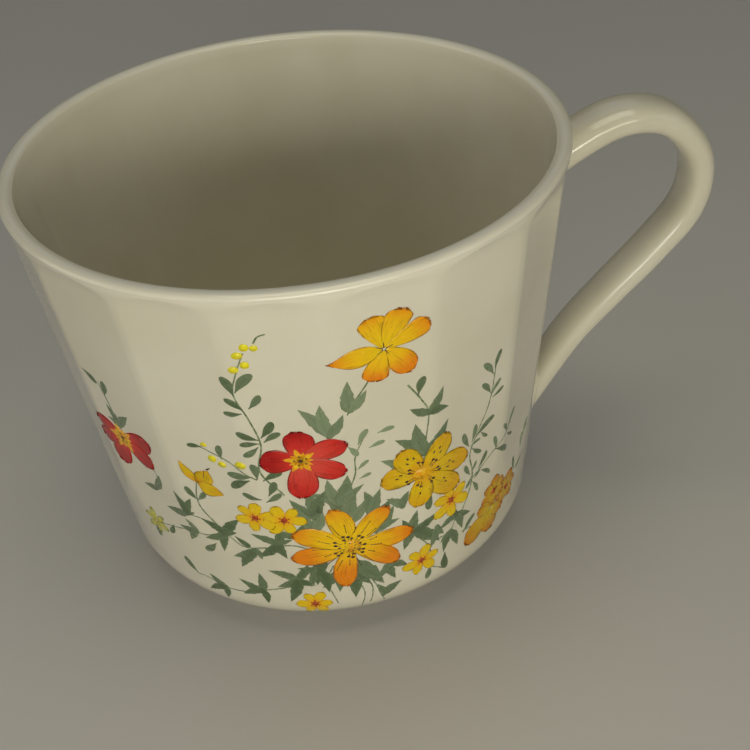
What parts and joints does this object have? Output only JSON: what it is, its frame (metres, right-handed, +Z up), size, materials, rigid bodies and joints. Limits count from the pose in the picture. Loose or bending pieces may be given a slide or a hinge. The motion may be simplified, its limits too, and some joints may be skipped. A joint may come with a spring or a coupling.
{
  "type": "teacup",
  "caption": "Porcelain teacup with a panelled, tapering wall, a round lip, a teardrop strap handle, a low foot ring and a printed spray of garden flowers.",
  "frame": {"origin": "on the surface that the cup stands on, below the middle of the whole object, handle included; the cup's own axis stands at x = -0.01275", "axes": "+Z up, +X towards the handle, -Y towards the printed flowers"},
  "size_m": [0.1105, 0.085, 0.0715],
  "materials": {
    "white_glaze": "glossy clear glaze over warm white porcelain",
    "bare_porcelain": "unglazed, fired and ground flat where it stands",
    "overglaze_enamel": "satin-gloss printed enamel fired onto the glaze"
  },
  "bodies": {
    "root": {"cup_body": "white_glaze", "handle": "white_glaze", "upper_slip_joint": "white_glaze", "lower_slip_joint": "white_glaze", "foot_ring": "bare_porcelain", "floral_transfer": "overglaze_enamel"}
  },
  "joints": []
}
